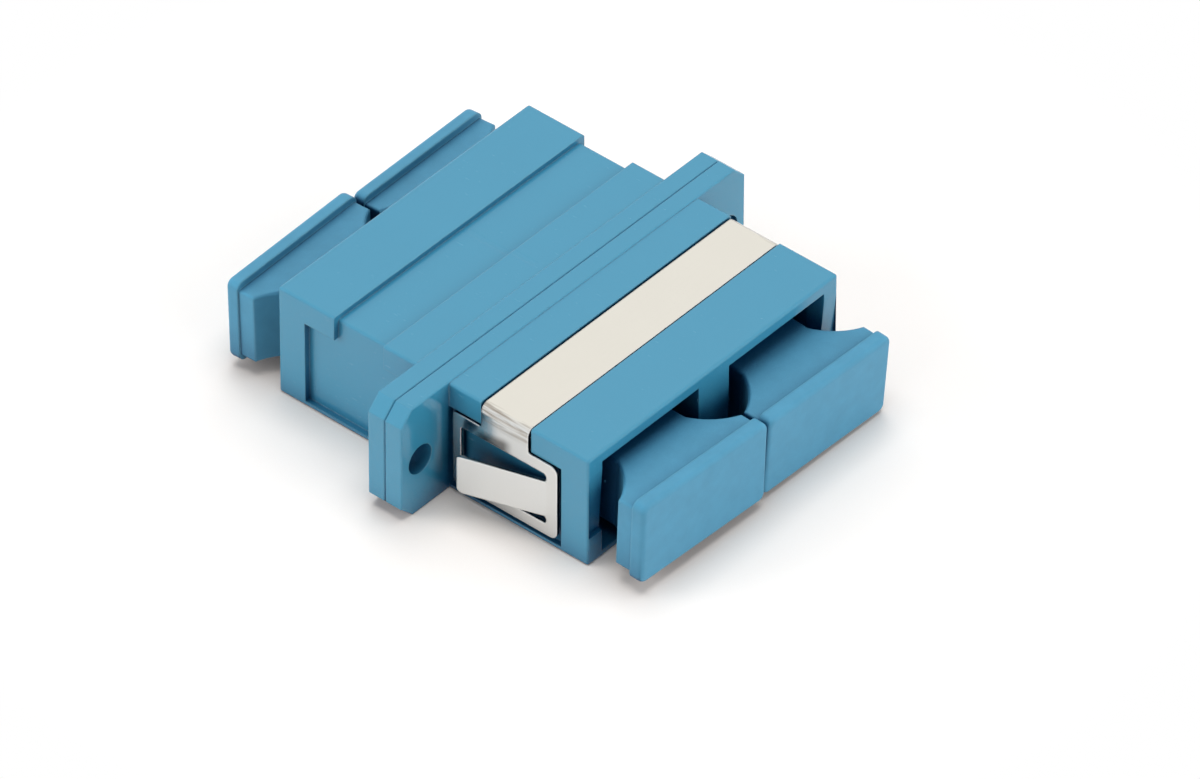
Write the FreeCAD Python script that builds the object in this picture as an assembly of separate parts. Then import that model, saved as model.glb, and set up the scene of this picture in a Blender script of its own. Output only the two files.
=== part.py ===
"""Duplex SC fibre adapter: two welded housing halves with a flange between them, a sprung
steel panel clip, four sleeve holders, two split sleeves and four push-in dust caps.

Millimetres, +Z up. X runs along the fibres, Y across the two ports. The origin lies in the
weld seam, midway between the ports, on the surface that the adapter rests on.
"""
import FreeCAD, Part
import math
import os

os.makedirs("parts", exist_ok=True)

# Housing halves
body_width = 25.6
body_height = 9.15
half_length = 13.72
top_wall = 0.95
bottom_wall = 0.60
port_pitch = 12.7
port_width = 9.4
mouth_flare = 0.33
mouth_ease = 0.10
mouth_depth = 1.2
body_edge_radius = 0.2
seat_edge_radius = 0.2

# End band, clip seat behind it and the pocket in each side face
band_length = 5.0
seat_length = 4.4
seat_depth = 0.40
pocket_depth = 0.45
pocket_end_wall = 2.36
pocket_top_wall = 1.95
pocket_lip = 0.38

# Ramp sunk into the end of each outer side wall
ramp_foot_height = 1.7
ramp_head_gap = 0.6
ramp_depth = 0.35
ramp_rim = 0.12

# Keyways in the floor of each port
key_width = 2.6
key_length = 5.6

# Flange, half of its thickness on each housing half
flange_width = 35.2
flange_height = 9.25
flange_thickness = 2.96
flange_chamfer = 1.1
flange_edge_radius = 0.1
seam_chamfer = 0.09
screw_edge_distance = 1.9
screw_hole_radius = 1.15

# Locating pin and socket in the weld faces
pin_radius = 0.55
pin_length = 1.0
pin_clearance = 0.08
pin_side_gap = 0.85
pin_drop = 1.9

# Split sleeves
sleeve_length = 11.4
sleeve_outer_radius = 1.6
sleeve_bore_radius = 1.25
sleeve_slit = 0.5
sleeve_end_chamfer = 0.1

# Sleeve holders
holder_ledge = 0.5
holder_plate = 1.0
holder_gap = 0.04
holder_wall = 0.5
holder_lip = 0.6
holder_lip_radius = 1.42
holder_lead_in = 0.3
sleeve_clearance = 0.05
sleeve_end_play = 0.1
latch_length = 8.6
latch_height = 3.2
latch_thickness = 0.55
latch_wall_gap = 0.3
latch_hook = 0.35
latch_hook_length = 1.1

# Steel panel clip
sheet = 0.3
clip_gap = 0.15
clip_lift = 0.02
leg_stand_off = 0.32
clip_bend_radius = 0.35
frame_end_gap = 0.24
frame_start_gap = 0.5
frame_top_gap = 0.08
frame_bottom_gap = 0.52
frame_bar = 0.71
frame_bottom_bar = 0.86
frame_corner_radius = 0.6
clip_small_radius = 0.2
tongue_root_inset = 0.92
tongue_end_gap = 1.85
tongue_flare = 1.41
tongue_root_height = 2.98
tongue_end_height = 3.1
tongue_root_level = 2.52
tongue_end_level = 1.8
tongue_corner_radius = 0.45
slot_end_width = 0.68
slot_end_radius = 0.3
window_rise = 1.0

# Dust caps
cap_stand_off = 4.8
cap_plate_thickness = 1.05
cap_plate_gap = 0.2
cap_plate_height = 6.65
cap_plate_corner = 0.6
cap_plate_edge = 0.35
cap_wing_thickness = 1.3
cap_wing_inset = 0.12
cap_body_height = 5.6
cap_body_edge = 0.2
cap_neck_side_gap = 1.35
cap_neck_out = 0.15
cap_flank_bow = 0.6
cap_depth = 11.2
cap_tip_chamfer = 0.4
cap_bore_clearance = 0.2
cap_bore_past_barrel = 7.0
cap_detent = 0.2

# How each cap sits: how far it is pushed past the stand-off, then its roll, droop and yaw in
# degrees about its grip on the barrel
cap_seats = {
    "front_left": (-0.12, -1.6, 0.7, -1.05),
    "front_right": (-0.01, -1.1, 3.4, -0.7),
    "rear_left": (0.1, 0.2, 1.6, 1.7),
    "rear_right": (0.24, 0.7, 3.7, 1.5),
}

# Places worked out from the sizes above
body_side = body_width / 2
port_height = body_height - top_wall - bottom_wall
port_z = bottom_wall + port_height / 2
port_half = port_width / 2
flange_half = flange_thickness / 2
band_start = half_length - band_length
seat_start = band_start - seat_length
seat_floor = body_height - seat_depth
pocket_floor = body_side - pocket_depth
pocket_end = half_length - pocket_end_wall
pocket_top = body_height - pocket_top_wall
leg_inner = pocket_floor + leg_stand_off
screw_pitch = flange_width - 2 * screw_edge_distance
ramp_low = bottom_wall + ramp_foot_height
ramp_high = body_height - top_wall - ramp_head_gap
pin_y = body_side + pin_side_gap
pin_z = flange_height - pin_drop
sleeve_reach = sleeve_length / 2
sleeve_seat_radius = sleeve_outer_radius + sleeve_clearance
barrel_radius = sleeve_seat_radius + holder_wall
sleeve_seat_end = sleeve_reach + sleeve_end_play
barrel_end = sleeve_seat_end + holder_lip
holder_width = port_width + 2 * holder_ledge
latch_outer = port_half - latch_wall_gap
latch_inner = latch_outer - latch_thickness
cap_face = half_length + cap_stand_off
cap_plate_start = cap_face - cap_plate_thickness
cap_wing_start = cap_plate_start - cap_wing_thickness
cap_plate_width = port_pitch - cap_plate_gap
cap_wing_half = cap_plate_width / 2 - cap_wing_inset
cap_neck_half = port_half - cap_neck_side_gap
cap_neck_end = half_length - cap_neck_out
cap_tip = half_length - cap_depth
cap_bore_radius = barrel_radius + cap_bore_clearance
cap_grip = (cap_tip + barrel_end) / 2

# Smallest length that counts, and how far a cutting tool runs past the material
PROBE = 0.01
PAST = 1.0

ports = {"left": -port_pitch / 2, "right": port_pitch / 2}


def vec(x, y, z):
    return FreeCAD.Vector(x, y, z)


# Direction that no edge runs along
SKEW = vec(1, 2, 3)


def block(x0, x1, y0, y1, z0, z1):
    """Box between two values on each axis."""
    return Part.makeBox(x1 - x0, y1 - y0, z1 - z0, vec(x0, y0, z0))


def rod(radius, x0, x1, y, z):
    """Cylinder along X."""
    return Part.makeCylinder(radius, x1 - x0, vec(x0, y, z), vec(1, 0, 0))


def cone(radius0, radius1, x0, x1, y, z):
    """Cone along X."""
    return Part.makeCone(radius0, radius1, x1 - x0, vec(x0, y, z), vec(1, 0, 0))


def outline(corners):
    """Closed wire through the corners, given as (point, radius), each rounded by its radius."""
    legs = []
    for i, (point, radius) in enumerate(corners):
        before = (corners[i - 1][0] - point).normalize()
        after = (corners[(i + 1) % len(corners)][0] - point).normalize()
        if radius == 0:
            legs.append((point, None, point))
            continue
        half_angle = before.getAngle(after) / 2
        reach = radius / math.tan(half_angle)
        centre = point + (before + after).normalize() * (radius / math.sin(half_angle))
        middle = centre + (point - centre).normalize() * radius
        legs.append((point + before * reach, middle, point + after * reach))
    edges = []
    for i, (start, middle, end) in enumerate(legs):
        if middle is not None:
            edges.append(Part.Arc(start, middle, end).toShape())
        following = legs[(i + 1) % len(legs)][0]
        if end.distanceToPoint(following) > PROBE / 10:
            edges.append(Part.LineSegment(end, following).toShape())
    return Part.Wire(edges)


def slab(corners, thickness):
    """Flat piece with the given outline, made thick along a vector."""
    return Part.Face(outline(corners)).extrude(thickness)


def is_convex(shape, edge):
    """True where less than half of the space round the edge's middle is solid."""
    middle = edge.valueAt((edge.FirstParameter + edge.LastParameter) / 2)
    along = edge.tangentAt((edge.FirstParameter + edge.LastParameter) / 2)
    across = along.cross(SKEW).normalize()
    other = along.cross(across).normalize()
    count = 16
    inside = 0
    for i in range(count):
        angle = 2 * math.pi * (i + 0.5) / count
        spot = middle + (across * math.cos(angle) + other * math.sin(angle)) * PROBE
        inside += shape.isInside(spot, PROBE / 100, False)
    return inside < count / 2


def soften(shape, radius, wanted):
    """Rounds the convex edges that the test picks."""
    edges = [e for e in shape.Edges if wanted(e) and is_convex(shape, e)]
    return shape.makeFillet(radius, edges)


def mirror_y(shape):
    return shape.mirror(vec(0, 0, 0), vec(0, 1, 0))


def half_turn(shape):
    """The same piece turned to the other half of the adapter."""
    turned = shape.copy()
    turned.rotate(vec(0, 0, 0), vec(0, 0, 1), 180)
    return turned


def at_edge(value, target):
    return abs(value - target) < PROBE


def body_outside():
    """Outer form of a housing half: end band, clip seat, pad and side pockets."""
    body = block(0, half_length, -body_side, body_side, 0, body_height)
    for y0, y1 in ((-body_side - PAST, -pocket_floor), (pocket_floor, body_side + PAST)):
        body = body.cut(block(flange_half, pocket_end, y0, y1, pocket_lip, pocket_top))
        body = body.cut(block(seat_start, band_start, y0, y1, pocket_lip, body_height + PAST))
    seat = block(seat_start, band_start, -body_width, body_width, seat_floor, body_height + PAST)
    body = body.cut(seat)

    def seat_corner(edge):
        box = edge.BoundBox
        return at_edge(box.ZMin, seat_floor) and at_edge(box.ZMax, seat_floor) and box.XLength > PROBE

    body = soften(body, seat_edge_radius, seat_corner)

    def outside_rim(edge):
        box = edge.BoundBox
        front = at_edge(box.XMin, half_length)
        long_edge = box.XLength > PROBE and (at_edge(box.ZMax, body_height) or at_edge(box.ZMax, 0))
        return front or (long_edge and box.XMin > -PROBE and abs(box.YMax) > pocket_floor)

    return soften(body, body_edge_radius, outside_rim)


def flange_plate():
    """Half of the flange, with its corners cut off and its edge at the seam eased."""
    side = flange_width / 2
    cut = flange_chamfer
    points = [(-side + cut, 0), (side - cut, 0), (side, cut), (side, flange_height - cut),
              (side - cut, flange_height), (-side + cut, flange_height),
              (-side, flange_height - cut), (-side, cut)]
    plate = slab([(vec(0, y, z), 0) for y, z in points], vec(flange_half, 0, 0))
    seam = [e for e in plate.Edges if at_edge(e.BoundBox.XMax, 0)]
    plate = plate.makeChamfer(seam_chamfer, seam)
    return soften(plate, flange_edge_radius, lambda e: at_edge(e.BoundBox.XMin, flange_half))


def mouth(y):
    """Lead-in at a port's mouth, wider on the side of the adapter's outer wall."""
    inner = abs(y) - port_half
    outer = abs(y) + port_half
    rims = []
    for x, ease, flare in ((half_length - mouth_depth, 0, 0), (half_length, mouth_ease, mouth_flare)):
        low = bottom_wall - ease
        high = body_height - top_wall + ease
        corners = [(x, inner - ease, low), (x, outer + flare, low), (x, outer + flare, high),
                   (x, inner - ease, high)]
        rims.append(outline([(vec(*c), 0) for c in corners]))
    tool = Part.makeLoft(rims, True, True)
    return mirror_y(tool) if y < 0 else tool


def wall_ramp(y):
    """Ramp in the end of the side wall beside a port, deepest at its foot."""
    points = [(half_length - ramp_depth, ramp_low), (half_length + PAST, ramp_low),
              (half_length + PAST, ramp_high), (half_length, ramp_high)]
    middle = port_pitch / 2
    corners = [(vec(x, middle, z), 0) for x, z in points]
    tool = slab(corners, vec(0, body_side - ramp_rim - middle, 0))
    return mirror_y(tool) if y < 0 else tool


def housing_half():
    """Front housing half: body, half flange, two ports, holder pockets, keyways and screw holes."""
    body = body_outside().fuse(flange_plate()).removeSplitter()
    reach = holder_width / 2
    pocket_deep = holder_plate + holder_gap
    roof = bottom_wall + port_height
    for y in ports.values():
        port = block(-PAST, half_length + PAST, y - port_half, y + port_half, bottom_wall, roof)
        body = body.cut(port)
        body = body.cut(block(-PAST, pocket_deep, y - reach, y + reach, bottom_wall, roof))
        body = body.cut(mouth(y))
        body = body.cut(wall_ramp(y))
        key = block(half_length - key_length, half_length + PAST, y - key_width / 2, y + key_width / 2,
                    -PAST, bottom_wall + PROBE)
        body = body.cut(key)
    for side in (-1, 1):
        screw_hole = rod(screw_hole_radius, -PAST, flange_half + PAST, side * screw_pitch / 2, port_z)
        body = body.cut(screw_hole)
    socket_deep = pin_length + pin_clearance
    body = body.cut(rod(pin_radius + pin_clearance, -PAST, socket_deep, -pin_y, pin_z))
    return body.fuse(rod(pin_radius, -pin_length, PROBE, pin_y, pin_z)).removeSplitter()


def sleeve_holder(y):
    """Flanged barrel that carries half of a split sleeve, with the two latch hooks beside it."""
    reach = holder_width / 2 - holder_gap
    low = bottom_wall + holder_gap
    high = bottom_wall + port_height - holder_gap
    holder = block(0, holder_plate, y - reach, y + reach, low, high)
    holder = holder.fuse(rod(barrel_radius, 0, barrel_end, y, port_z))
    hook_start = latch_length - latch_hook_length
    tip = latch_inner - latch_hook
    profile = [(0, latch_outer), (latch_length, latch_outer), (latch_length, latch_inner),
               (hook_start + latch_hook, tip), (hook_start, tip), (hook_start, latch_inner),
               (0, latch_inner)]
    for side in (-1, 1):
        corners = [(vec(x, y + side * offset, port_z - latch_height / 2), 0) for x, offset in profile]
        holder = holder.fuse(slab(corners, vec(0, 0, latch_height)))
    holder = holder.cut(rod(sleeve_seat_radius, -PAST, sleeve_seat_end, y, port_z))
    holder = holder.cut(rod(holder_lip_radius, 0, barrel_end + PAST, y, port_z))
    mouth_radius = holder_lip_radius + holder_lead_in
    lead = cone(holder_lip_radius, mouth_radius, barrel_end - holder_lead_in, barrel_end, y, port_z)
    return holder.cut(lead).removeSplitter()


def split_sleeve(y):
    """Slit ceramic tube that lines up two ferrules."""
    tube = rod(sleeve_outer_radius, -sleeve_reach, sleeve_reach, y, port_z)
    ends = [e for e in tube.Edges if at_edge(e.BoundBox.XLength, 0)]
    tube = tube.makeChamfer(sleeve_end_chamfer, ends)
    tube = tube.cut(rod(sleeve_bore_radius, -sleeve_length, sleeve_length, y, port_z))
    slit = block(-sleeve_length, sleeve_length, y - sleeve_slit / 2, y + sleeve_slit / 2,
                 port_z, port_z + 2 * sleeve_outer_radius)
    return tube.cut(slit)


def clip_sides():
    """Outline of the clip seen from the side, as a thick slab to cut the bent sheet with."""
    left = flange_half + frame_start_gap
    right = pocket_end - frame_end_gap
    low = pocket_lip + frame_bottom_gap
    top = pocket_top - frame_top_gap
    leg_left = seat_start + clip_gap
    leg_right = band_start - clip_gap
    points = [(left, low, frame_corner_radius), (right, low, frame_corner_radius),
              (right, top, frame_corner_radius), (leg_right, top, clip_small_radius),
              (leg_right, body_height + PAST, 0), (leg_left, body_height + PAST, 0),
              (leg_left, top, clip_small_radius), (left, top, clip_small_radius)]
    corners = [(vec(x, -body_width, z), r) for x, z, r in points]
    return slab(corners, vec(0, 2 * body_width, 0))


def tongue_line(share):
    """Low and high edge of the tongue at a share of its length, from its root to its free end."""
    low = tongue_root_level + (tongue_end_level - tongue_root_level) * share
    height = tongue_root_height + (tongue_end_height - tongue_root_height) * share
    return low, low + height


def clip_windows():
    """The two slots that free the tongue, and the window over it, cut through both sides."""
    left = flange_half + frame_start_gap + frame_bar
    root = pocket_end - frame_end_gap - tongue_root_inset
    low, high = tongue_line(0)
    end_low, end_high = tongue_line(1)
    bottom = pocket_lip + frame_bottom_gap + frame_bottom_bar
    top = pocket_top - frame_top_gap - window_rise
    nose = slot_end_radius
    upper = [(left, end_high, 0), (root, high, nose), (root, high + slot_end_width, nose),
             (left, top, clip_small_radius)]
    lower = [(left, bottom, 0), (root, low - slot_end_width, nose), (root, low, nose),
             (left, end_low, 0)]
    middle = [(left, end_low - PROBE, 0), (root, low - PROBE, 0), (root, high + PROBE, 0),
              (left, end_high + PROBE, 0)]
    tools = []
    for points in (upper, lower, middle):
        corners = [(vec(x, -body_width, z), r) for x, z, r in points]
        tools.append(slab(corners, vec(0, 2 * body_width, 0)))
    return tools


def clip_tongue():
    """Tongue on the clip's left side, turned outwards about its root."""
    root = pocket_end - frame_end_gap - tongue_root_inset
    end = flange_half + tongue_end_gap
    inner = -leg_inner
    low, high = tongue_line(0)
    end_low, end_high = tongue_line(1)
    points = [(root, low, 0), (root, high, 0), (end, end_high, tongue_corner_radius / 2),
              (end, end_low, tongue_corner_radius)]
    corners = [(vec(x, inner, z), r) for x, z, r in points]
    tongue = slab(corners, vec(0, -sheet, 0))
    turn = math.degrees(math.asin(tongue_flare / (root - end)))
    hinge = vec(root, inner - sheet / 2, 0)
    tongue.rotate(hinge, vec(0, 0, 1), turn)
    knee = Part.makeCylinder(sheet / 2, high - low, vec(root, inner - sheet / 2, low))
    return tongue.fuse(knee)


def panel_clip():
    """Sheet steel clip: strip over the seat, a leg down each side and a framed tongue on each."""
    inner_top = seat_floor + clip_lift

    def shell(side, top, radius):
        points = [(-side, 0, 0), (side, 0, 0), (side, top, radius), (-side, top, radius)]
        corners = [(vec(0, y, z), r) for y, z, r in points]
        return slab(corners, vec(half_length, 0, 0))

    hoop = shell(leg_inner + sheet, inner_top + sheet, clip_bend_radius + sheet)
    hoop = hoop.cut(shell(leg_inner, inner_top, clip_bend_radius))
    clip = hoop.common(clip_sides())
    for tool in clip_windows():
        clip = clip.cut(tool)
    tongue = clip_tongue()
    return clip.fuse(tongue).fuse(mirror_y(tongue)).removeSplitter()


def soften_rims(shape, wanted):
    """Rounds those of the cap's top and bottom edges that the test picks."""
    rims = [e for e in shape.Edges if at_edge(e.BoundBox.ZLength, 0) and wanted(e)]
    return shape.makeFillet(cap_body_edge, rims)


def cap_neck(y):
    """Neck of the cap, which goes into the port, with its tip chamfered."""
    low = port_z - cap_body_height / 2
    tip = cap_tip + cap_tip_chamfer
    tip_half = cap_neck_half - cap_tip_chamfer
    points = [(cap_tip, -tip_half), (cap_tip, tip_half), (tip, cap_neck_half),
              (cap_plate_start, cap_neck_half), (cap_plate_start, -cap_neck_half), (tip, -cap_neck_half)]
    corners = [(vec(x, y + side, low), 0) for x, side in points]
    neck = slab(corners, vec(0, 0, cap_body_height))
    return soften_rims(neck, lambda e: e.BoundBox.XMin < cap_neck_end)


def cap_flanks(y):
    """Hollow flanks that widen from the neck to the wings under the plate."""
    low = port_z - cap_body_height / 2
    back = cap_plate_start + PROBE
    bow_x = cap_neck_end + (cap_wing_start - cap_neck_end) * cap_flank_bow
    bow_y = cap_neck_half + (cap_wing_half - cap_neck_half) * (1 - cap_flank_bow)
    edges = []
    for x, half in ((back, cap_wing_half), (cap_neck_end, cap_neck_half)):
        edges.append(Part.LineSegment(vec(x, y - half, low), vec(x, y + half, low)))
    for side in (-1, 1):
        wing = vec(cap_wing_start, y + side * cap_wing_half, low)
        neck = vec(cap_neck_end, y + side * cap_neck_half, low)
        edges.append(Part.LineSegment(wing, vec(back, y + side * cap_wing_half, low)))
        edges.append(Part.Arc(neck, vec(bow_x, y + side * bow_y, low), wing))
    plan = Part.Wire(Part.__sortEdges__([e.toShape() for e in edges]))
    flanks = Part.Face(plan).extrude(vec(0, 0, cap_body_height))
    return soften_rims(flanks, lambda e: e.BoundBox.XLength > PROBE)


def cap_end_plate(y):
    """Outer plate of the cap, proud of its body all round."""
    half = cap_plate_width / 2
    low = port_z - cap_plate_height / 2
    high = port_z + cap_plate_height / 2
    points = [(y - half, low), (y + half, low), (y + half, high), (y - half, high)]
    corners = [(vec(cap_plate_start, *p), cap_plate_corner) for p in points]
    plate = slab(corners, vec(cap_plate_thickness, 0, 0))
    return plate.makeFillet(cap_plate_edge, [e for e in plate.Edges if at_edge(e.BoundBox.XMin, cap_face)])


def dust_cap(y, push, roll, droop, yaw):
    """Push-in dust cap, bored to go over the holder's barrel, which it sits on a little askew."""
    cap = cap_neck(y).fuse(cap_flanks(y)).fuse(cap_end_plate(y))
    bore_end = barrel_end + cap_bore_past_barrel
    cap = cap.cut(rod(cap_bore_radius, cap_tip - PAST, bore_end, y, port_z))
    detent = latch_length - latch_hook_length
    reach = latch_height / 2 + cap_detent
    for side in (-1, 1):
        y0, y1 = sorted((side * (cap_neck_half - cap_detent), side * (cap_neck_half + PAST)))
        cap = cap.cut(block(detent - cap_detent, latch_length + cap_detent, y + y0, y + y1,
                            port_z - reach, port_z + reach))
    cap = cap.removeSplitter()
    cap.translate(vec(-push, 0, 0))
    for axis, angle in ((vec(1, 0, 0), roll), (vec(0, 1, 0), droop), (vec(0, 0, 1), yaw)):
        cap.rotate(vec(cap_grip, y, port_z), axis, angle)
    return cap


def build():
    """All the pieces of the adapter, by name."""
    front = housing_half()
    pieces = {"front_housing": front, "rear_housing": half_turn(front), "panel_clip": panel_clip()}
    for side, y in ports.items():
        pieces[f"split_sleeve_{side}"] = split_sleeve(y)
        pieces[f"front_holder_{side}"] = sleeve_holder(y)
        pieces[f"rear_holder_{side}"] = half_turn(sleeve_holder(-y))
        pieces[f"front_cap_{side}"] = dust_cap(y, *cap_seats[f"front_{side}"])
        pieces[f"rear_cap_{side}"] = half_turn(dust_cap(-y, *cap_seats[f"rear_{side}"]))
    return pieces


for name, shape in build().items():
    print(name, "solids", len(shape.Solids), "valid", shape.isValid(), "volume", round(shape.Volume, 3))
    shape.exportStep(f"parts/{name}.step")
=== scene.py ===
"""Looks of a duplex fibre adapter: two blue housing halves with a flange between them, a sprung
steel panel clip, white sleeve holders, ceramic split sleeves and four push-in dust caps.

Metres, in the frame's own axes: X along the fibres, Y across the two ports, +Z up.
"""
import logging
import math
from dataclasses import dataclass
from enum import Enum
from typing import Any, Optional, Union

import bpy
from mathutils import Matrix, Vector


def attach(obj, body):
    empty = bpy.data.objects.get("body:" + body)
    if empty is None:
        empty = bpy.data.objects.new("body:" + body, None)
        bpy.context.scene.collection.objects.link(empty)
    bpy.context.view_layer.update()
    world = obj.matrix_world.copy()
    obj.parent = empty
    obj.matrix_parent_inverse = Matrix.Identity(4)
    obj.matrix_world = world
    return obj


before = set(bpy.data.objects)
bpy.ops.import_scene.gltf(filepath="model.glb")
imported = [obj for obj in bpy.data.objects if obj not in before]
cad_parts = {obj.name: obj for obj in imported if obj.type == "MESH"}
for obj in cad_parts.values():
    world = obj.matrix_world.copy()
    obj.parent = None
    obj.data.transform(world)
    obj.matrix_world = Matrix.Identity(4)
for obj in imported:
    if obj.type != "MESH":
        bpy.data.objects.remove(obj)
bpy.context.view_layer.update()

MM = 0.001
WHITE = (1.0, 1.0, 1.0, 1.0)
BLACK = (0.0, 0.0, 0.0)
LOG = logging.getLogger("adapter")
Value = Union[float, "Wire"]
Colour = tuple[float, float, float]
Triple = tuple[float, float, float]
Range = tuple[float, float]


# Shader building

class Wire:
    """Output socket of a node that takes part in Python sums."""

    def __init__(self, graph: "Graph", socket: bpy.types.NodeSocket) -> None:
        """Wraps one output socket.

        Args:
            graph: the material's node tree that the socket belongs to.
            socket: the output socket.
        """
        self.graph = graph
        self.socket = socket

    def _sum(self, operation: str, first: Value, second: Value = 0.0, clamp: bool = False) -> "Wire":
        """Adds a Math node.

        Args:
            operation: the Math node's operation.
            first: its first value.
            second: its second value, unused where the operation takes one.
            clamp: whether the result stays between 0 and 1.

        Returns:
            The result's wire.
        """
        settings = {"operation": operation, "use_clamp": clamp}
        return self.graph.add("ShaderNodeMath", settings, {0: first, 1: second}).out()

    def __add__(self, other: Value) -> "Wire":
        """Sum of two values."""
        return self._sum("ADD", self, other)

    def __radd__(self, other: Value) -> "Wire":
        """Sum with a number on the left."""
        return self._sum("ADD", other, self)

    def __sub__(self, other: Value) -> "Wire":
        """Difference of two values."""
        return self._sum("SUBTRACT", self, other)

    def __rsub__(self, other: Value) -> "Wire":
        """Difference from a number on the left."""
        return self._sum("SUBTRACT", other, self)

    def __mul__(self, other: Value) -> "Wire":
        """Product of two values."""
        return self._sum("MULTIPLY", self, other)

    def __rmul__(self, other: Value) -> "Wire":
        """Product with a number on the left."""
        return self._sum("MULTIPLY", other, self)

    def __truediv__(self, other: Value) -> "Wire":
        """Quotient of two values."""
        return self._sum("DIVIDE", self, other)

    def __abs__(self) -> "Wire":
        """The value without its sign."""
        return self._sum("ABSOLUTE", self)

    def clamped(self) -> "Wire":
        """The value kept between 0 and 1."""
        return self._sum("ADD", self, 0.0, clamp=True)

    def step(self, low: float, high: float) -> "Wire":
        """Smooth rise from 0 to 1.

        Args:
            low: where the rise starts.
            high: where it ends; below low, the step falls instead.

        Returns:
            The eased value's wire.
        """
        share = ((self - low) / (high - low)).clamped()
        return share * share * (3.0 - 2.0 * share)

    def band(self, middle: float, half: float, soft: float) -> "Wire":
        """1 inside a band of values and 0 outside it, with soft edges.

        Args:
            middle: the band's middle.
            half: half of its width.
            soft: width of each soft edge.

        Returns:
            The mask's wire.
        """
        return abs(self - middle).step(half + soft, half)


class Out:
    """A node just added, from which outputs are taken by name."""

    def __init__(self, graph: "Graph", node: bpy.types.Node) -> None:
        """Wraps the node.

        Args:
            graph: the node tree that it is in.
            node: the node.
        """
        self.graph = graph
        self.node = node

    def out(self, name: Union[str, int] = 0) -> Wire:
        """Wire from one of the node's outputs."""
        return Wire(self.graph, self.node.outputs[name])


class Graph:
    """Node tree built from Python expressions."""

    BEVEL_SAMPLES = 4
    SHADE_SAMPLES = 6

    def __init__(self, tree: bpy.types.NodeTree) -> None:
        """Takes a node tree over and empties it.

        Args:
            tree: the tree of a material or of the world.
        """
        self.tree = tree
        self.tree.nodes.clear()

    def add(self, kind: str, settings: Optional[dict[str, Any]] = None,
            sockets: Optional[dict[Union[str, int], Any]] = None) -> Out:
        """Adds a node.

        Args:
            kind: the node's type.
            settings: its own settings, set before anything is linked.
            sockets: values or wires of its input sockets, by name or number.

        Returns:
            The node, from which outputs are taken.
        """
        node = self.tree.nodes.new(kind)
        for key, value in (settings or {}).items():
            setattr(node, key, value)
        for key, value in (sockets or {}).items():
            if isinstance(value, Wire):
                self.tree.links.new(value.socket, node.inputs[key])
            else:
                node.inputs[key].default_value = value
        return Out(self, node)

    def place(self) -> Wire:
        """Place on the piece.

        Returns:
            The place's wire, a vector in millimetres.
        """
        local = self.add("ShaderNodeTexCoord").out("Object")
        return self.add("ShaderNodeVectorMath", {"operation": "SCALE"},
                        {0: local, "Scale": 1.0 / MM}).out()

    def axes(self, place: Wire) -> tuple[Wire, Wire, Wire]:
        """The three parts of a vector."""
        parts = self.add("ShaderNodeSeparateXYZ", None, {0: place})
        return parts.out(0), parts.out(1), parts.out(2)

    def stretched(self, place: Wire, scale: Triple) -> Wire:
        """A vector scaled by a different number along each axis."""
        return self.add("ShaderNodeVectorMath", {"operation": "MULTIPLY"}, {0: place, 1: scale}).out()

    def noise(self, place: Wire, scale: Union[float, Triple], detail: float = 2.0,
              rough: float = 0.5) -> Wire:
        """Cloudy noise between 0 and 1.

        Args:
            place: where it is read.
            scale: how many features there are per unit of the place; a triple gives one for each axis.
            detail: how many finer layers are added.
            rough: how strong the finer layers are.

        Returns:
            The noise's wire.
        """
        if isinstance(scale, tuple):
            place, scale = self.stretched(place, scale), 1.0
        sockets = {"Vector": place, "Scale": scale, "Detail": detail, "Roughness": rough}
        return self.add("ShaderNodeTexNoise", {"noise_dimensions": "3D"}, sockets).out("Fac")

    def blend(self, share: Value, first: Any, second: Any) -> Wire:
        """Mixes two colours.

        Args:
            share: how much of the second there is.
            first: colour or wire at share 0.
            second: colour or wire at share 1.

        Returns:
            The mixed colour's wire.
        """
        colours = [c if isinstance(c, Wire) else (*c, 1.0) for c in (first, second)]
        node = self.add("ShaderNodeMix", {"data_type": "RGBA"}, {0: share, 6: colours[0], 7: colours[1]})
        return node.out(2)

    def rounded(self, radius: float) -> Wire:
        """Normal that rounds the piece's sharp edges off, radius in millimetres."""
        return self.add("ShaderNodeBevel", {"samples": self.BEVEL_SAMPLES}, {"Radius": radius * MM}).out()

    def edge(self, soft: Wire) -> Wire:
        """Share by which a rounded normal leaves the face's own.

        Args:
            soft: the rounded normal.

        Returns:
            The share's wire, 0 on the flat.
        """
        own = self.add("ShaderNodeNewGeometry").out("True Normal")
        dot = self.add("ShaderNodeVectorMath", {"operation": "DOT_PRODUCT"}, {0: soft, 1: own})
        return (1.0 - dot.out("Value")).clamped()

    def openness(self, reach: float) -> Wire:
        """Share of the space round a place that no part fills, out to a reach in millimetres."""
        settings = {"samples": self.SHADE_SAMPLES}
        return self.add("ShaderNodeAmbientOcclusion", settings, {"Distance": reach * MM}).out("AO")

    def bump(self, height: Wire, depth: float, normal: Wire) -> Wire:
        """Normal of a relief.

        Args:
            height: the relief, 0 low and 1 high.
            depth: how far 0 and 1 are apart, in millimetres.
            normal: the normal that the relief stands on.

        Returns:
            The bent normal's wire.
        """
        sockets = {"Strength": 1.0, "Distance": depth * MM, "Height": height, "Normal": normal}
        return self.add("ShaderNodeBump", None, sockets).out()

    def seen(self) -> Wire:
        """Rays that show a surface: from the camera, by reflection or through glass.

        Returns:
            The mask's wire, 1 for such rays.
        """
        path = self.add("ShaderNodeLightPath")
        shown = path.out("Is Camera Ray") + path.out("Is Glossy Ray") + path.out("Is Transmission Ray")
        return shown.clamped()

    def mixed(self, share: Value, first: Out, second: Out) -> Out:
        """Mixes two shaders.

        Args:
            share: how much of the second there is.
            first: shader at share 0.
            second: shader at share 1.

        Returns:
            The mixed shader.
        """
        return self.add("ShaderNodeMixShader", None, {0: share, 1: first.out(), 2: second.out()})


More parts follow.
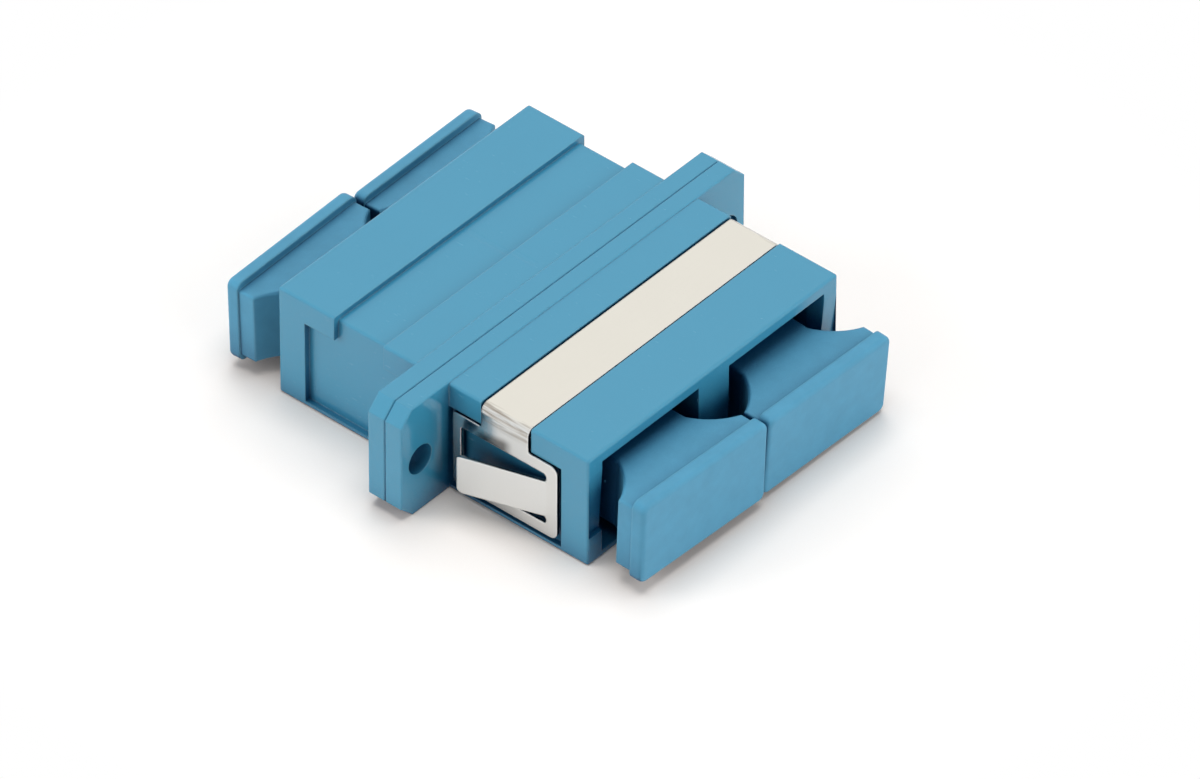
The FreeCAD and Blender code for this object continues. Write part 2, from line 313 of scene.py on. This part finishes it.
class Finish(Graph):
    """Node tree of a new material."""

    def __init__(self, name: str) -> None:
        """Starts the material.

        Args:
            name: its name.
        """
        self.material = bpy.data.materials.new(name)
        self.material.use_nodes = True
        super().__init__(self.material.node_tree)

    def done(self, shader: Out) -> bpy.types.Material:
        """Connects the surface shader and returns the material."""
        self.add("ShaderNodeOutputMaterial", None, {"Surface": shader.out()})
        return self.material


# Finishes

class Sheen(Enum):
    """How glossy a moulded surface comes out of its tool."""

    MATT = 0.52
    SATIN = 0.26
    GLOSSY = 0.24


@dataclass(frozen=True)
class MouldedPlastic:
    """Injection-moulded plastic with spark-eroded grain, flow clouds, edges lightened partly by rubbing and
    partly by a painted highlight, and painted shade darkening its creases.

    Scales are in features per millimetre; a triple gives one for each axis.
    """

    name: str
    colour: Colour
    # lighter edge colour: partly from rubbing, partly a painted highlight along the edges
    rubbed_and_highlight: Colour
    sheen: Sheen = Sheen.GLOSSY
    ior: float = 1.56
    edge_radius: float = 0.14
    wear_and_highlight: Range = (0.02, 0.30)
    wear_and_highlight_share: float = 0.55
    wear_gloss: float = 0.06
    grain: float = 11.0
    grain_depth: float = 0.0022
    grain_rough: float = 0.08
    flow: Triple = (0.10, 0.35, 0.35)
    flow_depth: float = 0.006
    patch: float = 0.22
    patch_rough: float = 0.05
    cloud: float = 0.05
    flow_tone: float = 6.0
    patch_tone: float = 4.0
    spot: float = 0.9
    mottle: float = 0.0
    scuff: Triple = (0.9, 7.0, 7.0)
    scuff_span: Range = (0.60, 0.78)
    scuff_rough: float = 0.05
    # painted shade: navy colour taken in creases, recesses and between parts
    painted_crease_shade: Colour = (0.0005, 0.040, 0.115)
    painted_shade_reach: float = 4.0
    painted_shade_open: Range = (0.18, 0.80)

    def relief(self, graph: Graph, place: Wire, normal: Wire) -> Wire:
        """Marks of this piece's own mould; a plain piece has none.

        Args:
            graph: the material's node tree.
            place: the place on the piece in millimetres.
            normal: the normal that the marks stand on.

        Returns:
            The bent normal's wire.
        """
        return normal

    def gloss(self, graph: Graph, place: Wire, rough: Wire) -> Wire:
        """Roughness where the tool was polished; a plain piece has no such place.

        Args:
            graph: the material's node tree.
            place: the place on the piece in millimetres.
            rough: the roughness elsewhere.

        Returns:
            The roughness's wire.
        """
        return rough

    def unshaded_share(self, graph: Graph) -> Wire:
        """Share of the plastic's own colour that a place keeps, 0 far into a crease, where a painted shade
        colour replaces it.
        """
        return graph.openness(self.painted_shade_reach).step(*self.painted_shade_open)

    def body(self, graph: Graph, flow: Wire, patch: Wire, spots: Wire) -> Wire:
        """Colour of the flat, a little darker and lighter in clouds.

        Args:
            graph: the material's node tree.
            flow: noise stretched out along the plastic's flow.
            patch: wide noise.
            spots: finer noise of the mottling.

        Returns:
            The colour's wire.
        """
        light = (0.5 + self.cloud * self.flow_tone * (flow - 0.5)
                 + self.cloud * self.patch_tone * (patch - 0.5) + self.mottle * (spots - 0.5)).clamped()
        dark_side = tuple(c * (1.0 - self.cloud) for c in self.colour)
        light_side = tuple(min(1.0, c * (1.0 + self.cloud)) for c in self.colour)
        return graph.blend(light, dark_side, light_side)

    def build(self) -> bpy.types.Material:
        """Makes the material.

        Returns:
            The material, for the pieces that are made of it.
        """
        graph = Finish(self.name)
        place = graph.place()
        rounded = graph.rounded(self.edge_radius)
        worn_and_highlight = graph.edge(rounded).step(*self.wear_and_highlight)
        soft = self.relief(graph, place, rounded)
        flow = graph.noise(place, self.flow, detail=3.0)
        patch = graph.noise(place, self.patch)
        fine = graph.noise(place, self.grain, rough=0.6)
        spots = graph.noise(place, self.spot, rough=0.6)
        scuffs = graph.noise(place, self.scuff, detail=3.0, rough=0.65).step(*self.scuff_span)
        # edges lightened partly by rubbing, partly by a painted highlight
        shown = graph.blend(worn_and_highlight * self.wear_and_highlight_share, self.body(graph, flow, patch, spots), self.rubbed_and_highlight)
        # painted shade: the colour darkens to navy where neighbouring walls close a place in
        colour = graph.blend(self.unshaded_share(graph), self.painted_crease_shade, shown)
        rough = (self.sheen.value + self.grain_rough * (fine - 0.5) + self.patch_rough * (patch - 0.5)
                 + self.scuff_rough * scuffs - self.wear_gloss * worn_and_highlight)
        normal = graph.bump(fine, self.grain_depth, graph.bump(flow, self.flow_depth, soft))
        return graph.done(graph.add("ShaderNodeBsdfPrincipled", None, {
            "Base Color": colour, "Roughness": self.gloss(graph, place, rough), "Normal": normal,
            "IOR": self.ior}))


@dataclass(frozen=True)
class HousingPlastic(MouldedPlastic):
    """Plastic of the housing: polished flange faces, and a sink line over the divider between the ports."""

    sink_y: float = 0.3
    sink_half: float = 0.12
    sink_soft: float = 0.22
    sink_depth: float = 0.02
    sink_start: Range = (-8.9, -8.5)
    sink_end: Range = (-1.9, -2.5)
    sink_level: Range = (6.0, 7.0)
    wander: float = 0.12
    wander_scale: float = 0.45
    flange_face: float = 1.48
    face_half: float = 0.04
    face_soft: float = 0.03
    polish: float = 0.55

    def relief(self, graph: Graph, place: Wire, normal: Wire) -> Wire:
        """Faint sink line along the divider.

        Args:
            graph: the material's node tree.
            place: the place on the piece in millimetres.
            normal: the normal that the line is sunk in.

        Returns:
            The bent normal's wire.
        """
        x, y, z = graph.axes(place)
        along = x.step(*self.sink_start) * x.step(*self.sink_end)
        wander = self.wander * (graph.noise(place, self.wander_scale, detail=1.0) - 0.5)
        line = (y + wander).band(self.sink_y, self.sink_half, self.sink_soft)
        return graph.bump(1.0 - line * along * z.step(*self.sink_level), self.sink_depth, normal)

    def gloss(self, graph: Graph, place: Wire, rough: Wire) -> Wire:
        """Roughness, lower on the flange's two polished faces.

        Args:
            graph: the material's node tree.
            place: the place on the piece in millimetres.
            rough: the roughness elsewhere.

        Returns:
            The roughness's wire.
        """
        x, _, _ = graph.axes(place)
        face = abs(x).band(self.flange_face, self.face_half, self.face_soft)
        return rough * (1.0 - self.polish * face)


@dataclass(frozen=True)
class CapPlastic(MouldedPlastic):
    """Softer, mottled plastic of the dust caps, whose grip plates' faces across the fibres get no painted
    crease shade.
    """

    ior: float = 1.44
    edge_radius: float = 0.28
    cloud: float = 0.08
    mottle: float = 1.1
    # reach and span of the caps' painted crease shade
    painted_shade_reach: float = 6.0
    painted_shade_open: Range = (0.32, 0.92)
    across: Range = (0.8, 0.4)

    def unshaded_share(self, graph: Graph) -> Wire:
        """Share of the plastic's own colour, whole on the faces across the fibres; elsewhere painted shade
        darkens the creases.

        Args:
            graph: the material's node tree.

        Returns:
            The share's wire.
        """
        facing = graph.add("ShaderNodeNewGeometry").out("True Normal")
        x, _, _ = graph.axes(facing)
        return 1.0 - (1.0 - super().unshaded_share(graph)) * abs(x).step(*self.across)


@dataclass(frozen=True)
class SpringSteel:
    """Cold-rolled stainless sheet, stamped and bent: rolling lines, bright sheared edges with a painted
    highlight, and painted light: a lighter top over shaded sides, a painted dark reflection on the bends
    and legs, painted shade in hollows.

    Scales are in features per millimetre; a triple gives one for each axis. The painted dark reflection's
    own triples give a band's middle, half width and soft edge.
    """

    name: str
    colour: Colour
    # painted shade: greyer, darker copy of the steel for the sheet's sides; the top takes the lighter
    # colour
    side: Colour
    # painted reflection: brown-grey streaks on the bends, standing in for dark surroundings reflected there
    painted_bend_reflection: Colour
    # painted shade: dark blue-grey the sheet takes next to the housing's walls, for shade and dark
    # reflections there
    painted_hollow_shade: Colour = (0.03, 0.07, 0.10)
    # painted reflection: dark patch on the legs under the window's top bar, standing in for dark
    # surroundings reflected there
    painted_dark_reflection: Colour = (0.10, 0.095, 0.09)
    # sheared edges: the sheet's own bright edge, lightened further to near white by a painted highlight
    cut_highlight: Colour = (0.97, 0.97, 0.96)
    cut_highlight_share: float = 0.8
    shaded_flank: Range = (12.40, 12.90)
    bend_y: Range = (12.25, 12.60)
    bend_z: Range = (7.40, 8.30)
    dark_reflection_share: float = 0.85
    dark_reflection_x: Triple = (5.4, 0.9, 1.1)
    dark_reflection_z: Triple = (5.47, 0.15, 0.75)
    dark_reflection_slope: float = 0.16
    roughness: float = 0.15
    edge_radius: float = 0.14
    wear_and_highlight: Range = (0.005, 0.12)
    wear_rough: float = 0.05
    rolled: Triple = (9.0, 0.25, 0.5)
    rolled_depth: float = 0.0009
    rolled_rough: float = 0.08
    rolled_tone: float = 0.30
    patch: float = 0.30
    patch_tone: float = 0.45
    patch_depth: float = 0.010
    smear: Triple = (0.5, 0.25, 0.9)
    smear_span: Range = (0.50, 0.72)
    smear_rough: float = 0.06
    streak: Triple = (0.20, 2.0, 5.5)
    streak_span: Range = (0.42, 0.66)
    streak_rough: float = 0.10
    dulled: float = 0.06
    painted_shade_reach: float = 2.0
    painted_shade_open: Range = (0.80, 0.45)

    def tint(self, graph: Graph, place: Wire, tone: Wire, worn_and_highlight: Wire, bent: Wire) -> Wire:
        """Colour of the sheet with all its marks and its painted light and shade.

        Args:
            graph: the material's node tree.
            place: the place on the piece in millimetres.
            tone: how dull and bright the rolled face is.
            worn_and_highlight: share of sheared edge, which a painted highlight lightens.
            bent: share of streaked bend, which takes the painted bend reflection.

        Returns:
            The colour's wire.
        """
        x, y, z = graph.axes(place)
        # painted light: the sides take the darker, greyer copy of the steel and the top the lighter one
        shaded_flank = abs(y).step(*self.shaded_flank)
        full = graph.blend(shaded_flank, self.colour, self.side)
        colour = graph.blend(tone, graph.blend(self.dulled, full, BLACK), full)
        # painted reflection: brown-grey streaks along the bends
        colour = graph.blend(bent, colour, self.painted_bend_reflection)
        # painted reflection: a dark band on the sides, slanted along the legs
        dark_reflection_mask = shaded_flank * x.band(*self.dark_reflection_x) * (z - self.dark_reflection_slope * x).band(*self.dark_reflection_z)
        colour = graph.blend(dark_reflection_mask * self.dark_reflection_share, colour, self.painted_dark_reflection)
        # painted shade: darker where the housing's walls close the sheet in
        colour = graph.blend(graph.openness(self.painted_shade_reach).step(*self.painted_shade_open), colour, self.painted_hollow_shade)
        # painted highlight: sheared edges lightened to near white
        return graph.blend(worn_and_highlight * self.cut_highlight_share, colour, self.cut_highlight)

    def build(self) -> bpy.types.Material:
        """Makes the material.

        Returns:
            The material, for the pieces that are made of it.
        """
        graph = Finish(self.name)
        place = graph.place()
        soft = graph.rounded(self.edge_radius)
        worn_and_highlight = graph.edge(soft).step(*self.wear_and_highlight)
        lines = graph.noise(place, self.rolled, detail=3.0, rough=0.6)
        patch = graph.noise(place, self.patch)
        smear = graph.noise(place, self.smear, detail=3.0, rough=0.6).step(*self.smear_span)
        tone = (0.5 + self.rolled_tone * (lines - 0.5) + self.patch_tone * (patch - 0.5)).clamped()
        _, y, z = graph.axes(place)
        bend = abs(y).step(*self.bend_y) * z.step(*self.bend_z)
        streaks = graph.noise(place, self.streak, detail=3.0, rough=0.7).step(*self.streak_span)
        bent = bend * streaks
        rough = (self.roughness + self.rolled_rough * (lines - 0.5) + self.smear_rough * smear
                 + self.wear_rough * worn_and_highlight + self.streak_rough * bent)
        normal = graph.bump(lines, self.rolled_depth, graph.bump(patch, self.patch_depth, soft))
        return graph.done(graph.add("ShaderNodeBsdfPrincipled", None, {
            "Base Color": self.tint(graph, place, tone, worn_and_highlight, bent), "Metallic": 1.0,
            "Roughness": rough, "Normal": normal}))


@dataclass(frozen=True)
class Zirconia:
    """Ground ceramic of the split sleeves.

    Scales are in features per millimetre; a triple gives one for each axis.
    """

    name: str
    colour: Colour
    ior: float = 1.9
    roughness: float = 0.16
    edge_radius: float = 0.05
    ring: Triple = (16.0, 0.4, 0.4)
    ring_depth: float = 0.0006
    ring_rough: float = 0.08
    patch: float = 0.6
    dulled: float = 0.04

    def build(self) -> bpy.types.Material:
        """Makes the material.

        Returns:
            The material, for the pieces that are made of it.
        """
        graph = Finish(self.name)
        place = graph.place()
        soft = graph.rounded(self.edge_radius)
        rings = graph.noise(place, self.ring)
        patch = graph.noise(place, self.patch)
        colour = graph.blend(patch, tuple(c * (1.0 - self.dulled) for c in self.colour), self.colour)
        return graph.done(graph.add("ShaderNodeBsdfPrincipled", None, {
            "Base Color": colour, "Roughness": self.roughness + self.ring_rough * rings,
            "Normal": graph.bump(rings, self.ring_depth, soft), "IOR": self.ior}))


# Studio

def outward(azimuth: float, elevation: float) -> Vector:
    """Direction away from the adapter.

    Args:
        azimuth: degrees round from the side with the near ports' end faces on the right.
        elevation: degrees above the table.

    Returns:
        The unit vector.
    """
    around, above = math.radians(azimuth), math.radians(elevation)
    return Vector((math.sin(around) * math.cos(above), -math.cos(around) * math.cos(above),
                   math.sin(above)))


@dataclass(frozen=True)
class SoftBox:
    """One soft box of the studio, turned to the adapter, in degrees, watts and metres."""

    name: str
    azimuth: float
    elevation: float
    power: float
    size: float = 0.45
    distance: float = 0.65

    def build(self) -> None:
        """Makes the lamp."""
        lamp = bpy.data.lights.new(self.name, "AREA")
        lamp.shape = "SQUARE"
        lamp.size = self.size
        lamp.energy = self.power
        box = bpy.data.objects.new(self.name, lamp)
        back = outward(self.azimuth, self.elevation)
        box.location = back * self.distance
        box.rotation_euler = back.to_track_quat("Z", "Y").to_euler()
        box.visible_glossy = False
        bpy.context.scene.collection.objects.link(box)


@dataclass
class Studio:
    """White table with a soft shadow, deepened by a painted shadow near the adapter, soft boxes over and
    beside the adapter, a little light all round.
    """

    floor_size: float = 3.0
    floor_bounce: float = 0.80
    floor_shade: Colour = (1.03, 1.005, 0.985)
    # painted shadow colour of the floor close to the adapter
    painted_floor_shadow: Colour = (0.76, 0.67, 0.60)
    painted_shadow_reach: float = 18.0
    floor_lift: float = 0.03
    fade: Range = (20.0, 50.0)
    sky_level: float = 0.03
    boxes: tuple[SoftBox, ...] = (
        SoftBox("over", 0, 90, 2.70),
        SoftBox("behind", 225, 50, 0.95),
        SoftBox("near_left", 315, 18, 2.30),
        SoftBox("far_right", 135, 18, 1.40),
        SoftBox("right", 90, 18, 1.60),
        SoftBox("near", 0, 18, 0.70),
    )

    def floor(self) -> None:
        """White table that keeps the adapter's soft shadow, deepened by a painted shadow near the adapter.
        """
        bpy.ops.object.select_all(action="DESELECT")
        bpy.ops.mesh.primitive_plane_add(size=self.floor_size, location=(0, 0, 0))
        table = bpy.context.object
        table.name = "table"
        graph = Finish("table_white")
        bounce = graph.add("ShaderNodeBsdfDiffuse", None, {"Color": (*(self.floor_bounce,) * 3, 1.0)})
        # painted shadow: the floor darkens where the adapter closes the space in
        near = graph.blend(graph.openness(self.painted_shadow_reach), self.painted_floor_shadow, self.floor_shade)
        shade = graph.add("ShaderNodeBsdfDiffuse", None, {"Color": near})
        lift = graph.add("ShaderNodeEmission", None, {"Color": WHITE, "Strength": self.floor_lift})
        close = graph.add("ShaderNodeAddShader", None, {0: shade.out(), 1: lift.out()})
        away = graph.add("ShaderNodeEmission", None, {"Color": WHITE, "Strength": 1.0})
        reach = graph.add("ShaderNodeVectorMath", {"operation": "LENGTH"}, {0: graph.place()}).out("Value")
        shown = graph.mixed(reach.step(*self.fade), close, away)
        table.data.materials.append(graph.done(graph.mixed(graph.seen(), bounce, shown)))

    def sky(self) -> None:
        """Even light from all round, white where it is seen."""
        world = bpy.data.worlds.new("studio")
        world.use_nodes = True
        graph = Graph(world.node_tree)
        light = graph.add("ShaderNodeBackground", None, {"Color": WHITE, "Strength": self.sky_level})
        white = graph.add("ShaderNodeBackground", None, {"Color": WHITE, "Strength": 1.0})
        sky = graph.mixed(graph.seen(), light, white)
        graph.add("ShaderNodeOutputWorld", None, {"Surface": sky.out()})
        bpy.context.scene.world = world

    def build(self) -> None:
        """Sets up table, sky and soft boxes."""
        self.floor()
        self.sky()
        for box in self.boxes:
            box.build()
        bpy.context.scene.view_settings.view_transform = "Standard"


@dataclass
class Camera:
    """Long lens that looks down on the adapter's near front corner."""

    azimuth: float = 40.6009
    elevation: float = 40.4746
    roll: float = 0.2531
    lens: float = 450.228
    distance: float = 1.010969
    right_shift: float = -0.002838274
    up_shift: float = 0.000347279
    sensor_width: float = 36
    clip_start: float = 0.05
    clip_end: float = 20

    def build(self) -> None:
        """Makes the camera and hands it to the scene."""
        around, lean = math.radians(self.azimuth), math.radians(self.roll)
        back = outward(self.azimuth, self.elevation)
        side = Vector((math.cos(around), math.sin(around), 0))
        rise = back.cross(side)
        right = side * math.cos(lean) + rise * math.sin(lean)
        up = rise * math.cos(lean) - side * math.sin(lean)
        data = bpy.data.cameras.new("camera")
        data.sensor_width = self.sensor_width
        data.lens = self.lens
        data.clip_start = self.clip_start
        data.clip_end = self.clip_end
        camera = bpy.data.objects.new("camera", data)
        placed = Matrix((right, up, back)).transposed().to_4x4()
        placed.translation = back * self.distance - right * self.right_shift - up * self.up_shift
        camera.matrix_world = placed
        bpy.context.scene.collection.objects.link(camera)
        bpy.context.scene.camera = camera


# Sub-assemblies

@dataclass(frozen=True)
class Flash:
    """A sliver that the mould's parting line has left: place and size in millimetres, lean in degrees."""

    name: str
    place: Triple
    size: Triple
    lean: float


@dataclass
class Housing:
    """The two welded housing halves, with the slivers of flash on their mouths."""

    plastic: HousingPlastic
    slivers: tuple[Flash, ...] = (
        Flash("flash_near_mouth", (13.70, -11.06, 6.35), (0.07, 0.10, 0.20), 20),
        Flash("flash_near_foot", (13.66, -12.74, 1.10), (0.09, 0.08, 0.34), 6),
        Flash("flash_divider_top", (13.69, -1.64, 7.30), (0.08, 0.07, 0.26), -12),
        Flash("flash_divider_low", (13.69, 1.62, 5.30), (0.08, 0.07, 0.30), 9),
        Flash("flash_rear_mouth", (-13.70, 11.06, 6.10), (0.07, 0.09, 0.24), -15),
        Flash("flash_rear_divider", (-13.69, -1.63, 6.60), (0.08, 0.07, 0.22), 10),
    )
    cuts: int = 2
    ragged: float = 0.22
    ragged_outward: float = 0.6
    drawn_x: float = 0.55
    drawn_y: float = 0.65

    def _sliver(self, flash: Flash, material: bpy.types.Material) -> None:
        """Models one sliver: a bar stretched out to a ragged tip.

        Args:
            flash: where and how large it is.
            material: the housing's plastic.
        """
        bpy.ops.object.select_all(action="DESELECT")
        bpy.ops.mesh.primitive_cube_add(size=1.0, location=(0, 0, 0))
        piece = bpy.context.object
        piece.name = flash.name
        bpy.ops.object.mode_set(mode="EDIT")
        bpy.ops.mesh.subdivide(number_cuts=self.cuts, fractal=self.ragged,
                               fractal_along_normal=self.ragged_outward, seed=len(flash.name))
        bpy.ops.object.mode_set(mode="OBJECT")
        for vertex in piece.data.vertices:
            vertex.co.x *= 1.0 - self.drawn_x * abs(vertex.co.z)
            vertex.co.y *= 1.0 - self.drawn_y * abs(vertex.co.z)
        rounding = piece.modifiers.new("rounding", "SUBSURF")
        rounding.levels = 1
        rounding.render_levels = 1
        bpy.ops.object.modifier_apply(modifier=rounding.name)
        placed = (Matrix.Translation(Vector(flash.place) * MM)
                  @ Matrix.Rotation(math.radians(flash.lean), 4, "X")
                  @ Matrix.Diagonal(Vector((*flash.size, 1.0 / MM)) * MM))
        piece.data.transform(placed)
        bpy.ops.object.shade_smooth()
        piece.data.materials.append(material)
        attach(piece, "adapter")
        LOG.info("%s: %d faces", piece.name, len(piece.data.polygons))

    def build(self) -> None:
        """Dresses both halves and adds the slivers."""
        material = self.plastic.build()
        dress(("front_housing", "rear_housing"), material)
        for flash in self.slivers:
            self._sliver(flash, material)


@dataclass
class Inserts:
    """Sleeve holders and split sleeves inside the ports."""

    plastic: MouldedPlastic
    ceramic: Zirconia

    def build(self) -> None:
        """Dresses the holders and the sleeves."""
        holders = [f"{end}_holder_{side}" for end in ("front", "rear") for side in ("left", "right")]
        dress(holders, self.plastic.build())
        dress(("split_sleeve_left", "split_sleeve_right"), self.ceramic.build())


@dataclass
class PanelClip:
    """Steel clip over the front housing half."""

    steel: SpringSteel

    def build(self) -> None:
        """Dresses the clip."""
        dress(("panel_clip",), self.steel.build())


@dataclass
class DustCaps:
    """The four dust caps."""

    plastic: CapPlastic

    def build(self) -> None:
        """Dresses the caps."""
        caps = [f"{end}_cap_{side}" for end in ("front", "rear") for side in ("left", "right")]
        dress(caps, self.plastic.build())


def dress(names: Union[list[str], tuple[str, ...]], material: bpy.types.Material) -> None:
    """Gives CAD nodes a material.

    Args:
        names: the nodes.
        material: what they are made of.
    """
    for name in names:
        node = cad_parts[name]
        node.data.materials.clear()
        node.data.materials.append(material)
        LOG.info("%s: %s, %d faces", name, material.name, len(node.data.polygons))


def main() -> None:
    """Builds the studio and dresses the adapter."""
    logging.basicConfig(level=logging.INFO, format="%(name)s: %(message)s")
    Camera().build()
    Studio().build()
    blue = (0.048, 0.275, 0.430)
    cap_blue = (0.076, 0.297, 0.460)
    # lighter edge colours: partly from rubbing, partly a painted highlight
    rubbed_and_highlight_blue = (0.18, 0.47, 0.63)
    white = (0.70, 0.70, 0.67)
    rubbed_and_highlight_white = (0.80, 0.80, 0.78)
    ceramic = (0.84, 0.82, 0.76)
    steel = (0.82, 0.79, 0.71)
    # painted light: the clip's top lighter and warmer, its sides a shaded grey copy
    steel_shaded_side = (0.71, 0.72, 0.71)
    # painted reflection colour of the bends
    steel_bend_reflection = (0.36, 0.32, 0.27)
    Housing(HousingPlastic("housing_blue", blue, rubbed_and_highlight_blue)).build()
    DustCaps(CapPlastic("cap_blue", cap_blue, rubbed_and_highlight_blue, Sheen.MATT)).build()
    Inserts(MouldedPlastic("holder_white", white, rubbed_and_highlight_white, Sheen.SATIN),
            Zirconia("sleeve_ceramic", ceramic)).build()
    PanelClip(SpringSteel("clip_steel", steel, steel_shaded_side, steel_bend_reflection)).build()


if __name__ == "__main__":
    main()
